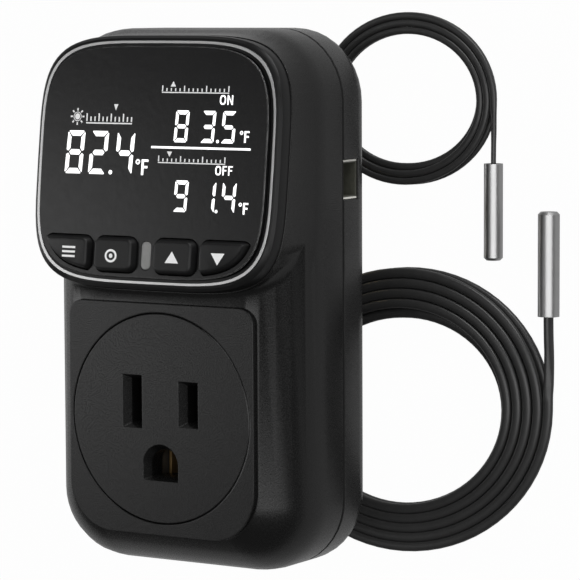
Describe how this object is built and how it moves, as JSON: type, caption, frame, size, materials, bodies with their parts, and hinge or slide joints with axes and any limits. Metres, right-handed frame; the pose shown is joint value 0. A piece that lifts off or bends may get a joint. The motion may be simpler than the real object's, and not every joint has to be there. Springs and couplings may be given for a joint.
{
  "type": "plug in temperature controller",
  "caption": "Wall plug temperature controller with tilted display, four keys, grounded outlet, sensor port and two coiled probe leads.",
  "frame": {"origin": "middle of the controller's outline, on the surface that the ground pin's tip touches while it lies on its back", "axes": "+X to the right seen from the front, +Y to the top of the front, +Z out of the front"},
  "size_m": [0.088, 0.1059, 0.0566],
  "materials": {
    "case_plastic": "fine spark-eroded texture",
    "bezel_plastic": "semi-gloss",
    "trim_metal": "polished",
    "lens": "glossy",
    "key_rubber": "satin",
    "clear_pipe": "frosted",
    "insert_plastic": "fine texture",
    "steel": "zinc plated",
    "probe_steel": "polished",
    "brass": "plain",
    "blade_metal": "plain",
    "board": "solder mask",
    "black_part": "moulded",
    "blue_part": "moulded",
    "yellow_part": "taped",
    "white_plastic": "moulded",
    "glass_panel": "glass and foil",
    "sheet": "fibre sheet",
    "cable": "smooth",
    "seal": "potting"
  },
  "bodies": {
    "root": {"front_shell": "case_plastic", "rear_cover": "case_plastic", "case_screws": "steel", "display_bezel": "bezel_plastic", "trim_ring": "trim_metal", "display_lens": "lens", "light_pipe": "clear_pipe", "outlet_insert": "insert_plastic", "switch_bases": "black_part", "display_panel": "glass_panel", "display_frame": "white_plastic", "display_board": "board", "status_led": "white_plastic", "controller_chip": "black_part", "display_screws": "steel", "display_cable": "white_plastic", "main_board": "board", "board_screws": "steel", "relay": "blue_part", "transformer": "yellow_part", "supply_capacitor": "black_part", "filter_capacitor": "yellow_part", "fuse": "black_part", "varistor": "blue_part", "contact_carrier": "white_plastic", "carrier_screws": "steel", "neutral_contact": "brass", "line_contact": "brass", "ground_contact": "brass", "ground_strap": "brass", "neutral_blade": "blade_metal", "line_blade": "blade_metal", "ground_pin": "blade_metal", "insulator_sheet": "sheet", "sensor_header": "white_plastic", "sensor_pins": "steel", "short_probe": "probe_steel", "short_seal": "seal", "short_tail": "cable", "short_coil": "cable", "short_lead": "cable", "short_connector": "white_plastic", "short_terminals": "steel", "long_probe": "probe_steel", "long_seal": "seal", "long_tail": "cable", "long_coil": "cable", "long_lead": "cable", "long_connector": "white_plastic", "long_terminals": "steel"},
    "set_button": {"set_key": "key_rubber", "set_plunger": "steel"},
    "function_button": {"function_key": "key_rubber", "function_plunger": "steel"},
    "up_button": {"up_key": "key_rubber", "up_plunger": "steel"},
    "down_button": {"down_key": "key_rubber", "down_plunger": "steel"}
  },
  "joints": [
    {"name": "set_press", "type": "slide", "parent": "root", "child": "set_button", "axis": [0, -0.1167, -0.9932], "range_m": [0, 0.0005], "stiffness_N_per_m": 3000, "springref_m": -0.0001},
    {"name": "function_press", "type": "slide", "parent": "root", "child": "function_button", "axis": [0, -0.1167, -0.9932], "range_m": [0, 0.0005], "stiffness_N_per_m": 3000, "springref_m": -0.0001},
    {"name": "up_press", "type": "slide", "parent": "root", "child": "up_button", "axis": [0, -0.1167, -0.9932], "range_m": [0, 0.0005], "stiffness_N_per_m": 3000, "springref_m": -0.0001},
    {"name": "down_press", "type": "slide", "parent": "root", "child": "down_button", "axis": [0, -0.1167, -0.9932], "range_m": [0, 0.0005], "stiffness_N_per_m": 3000, "springref_m": -0.0001}
  ]
}
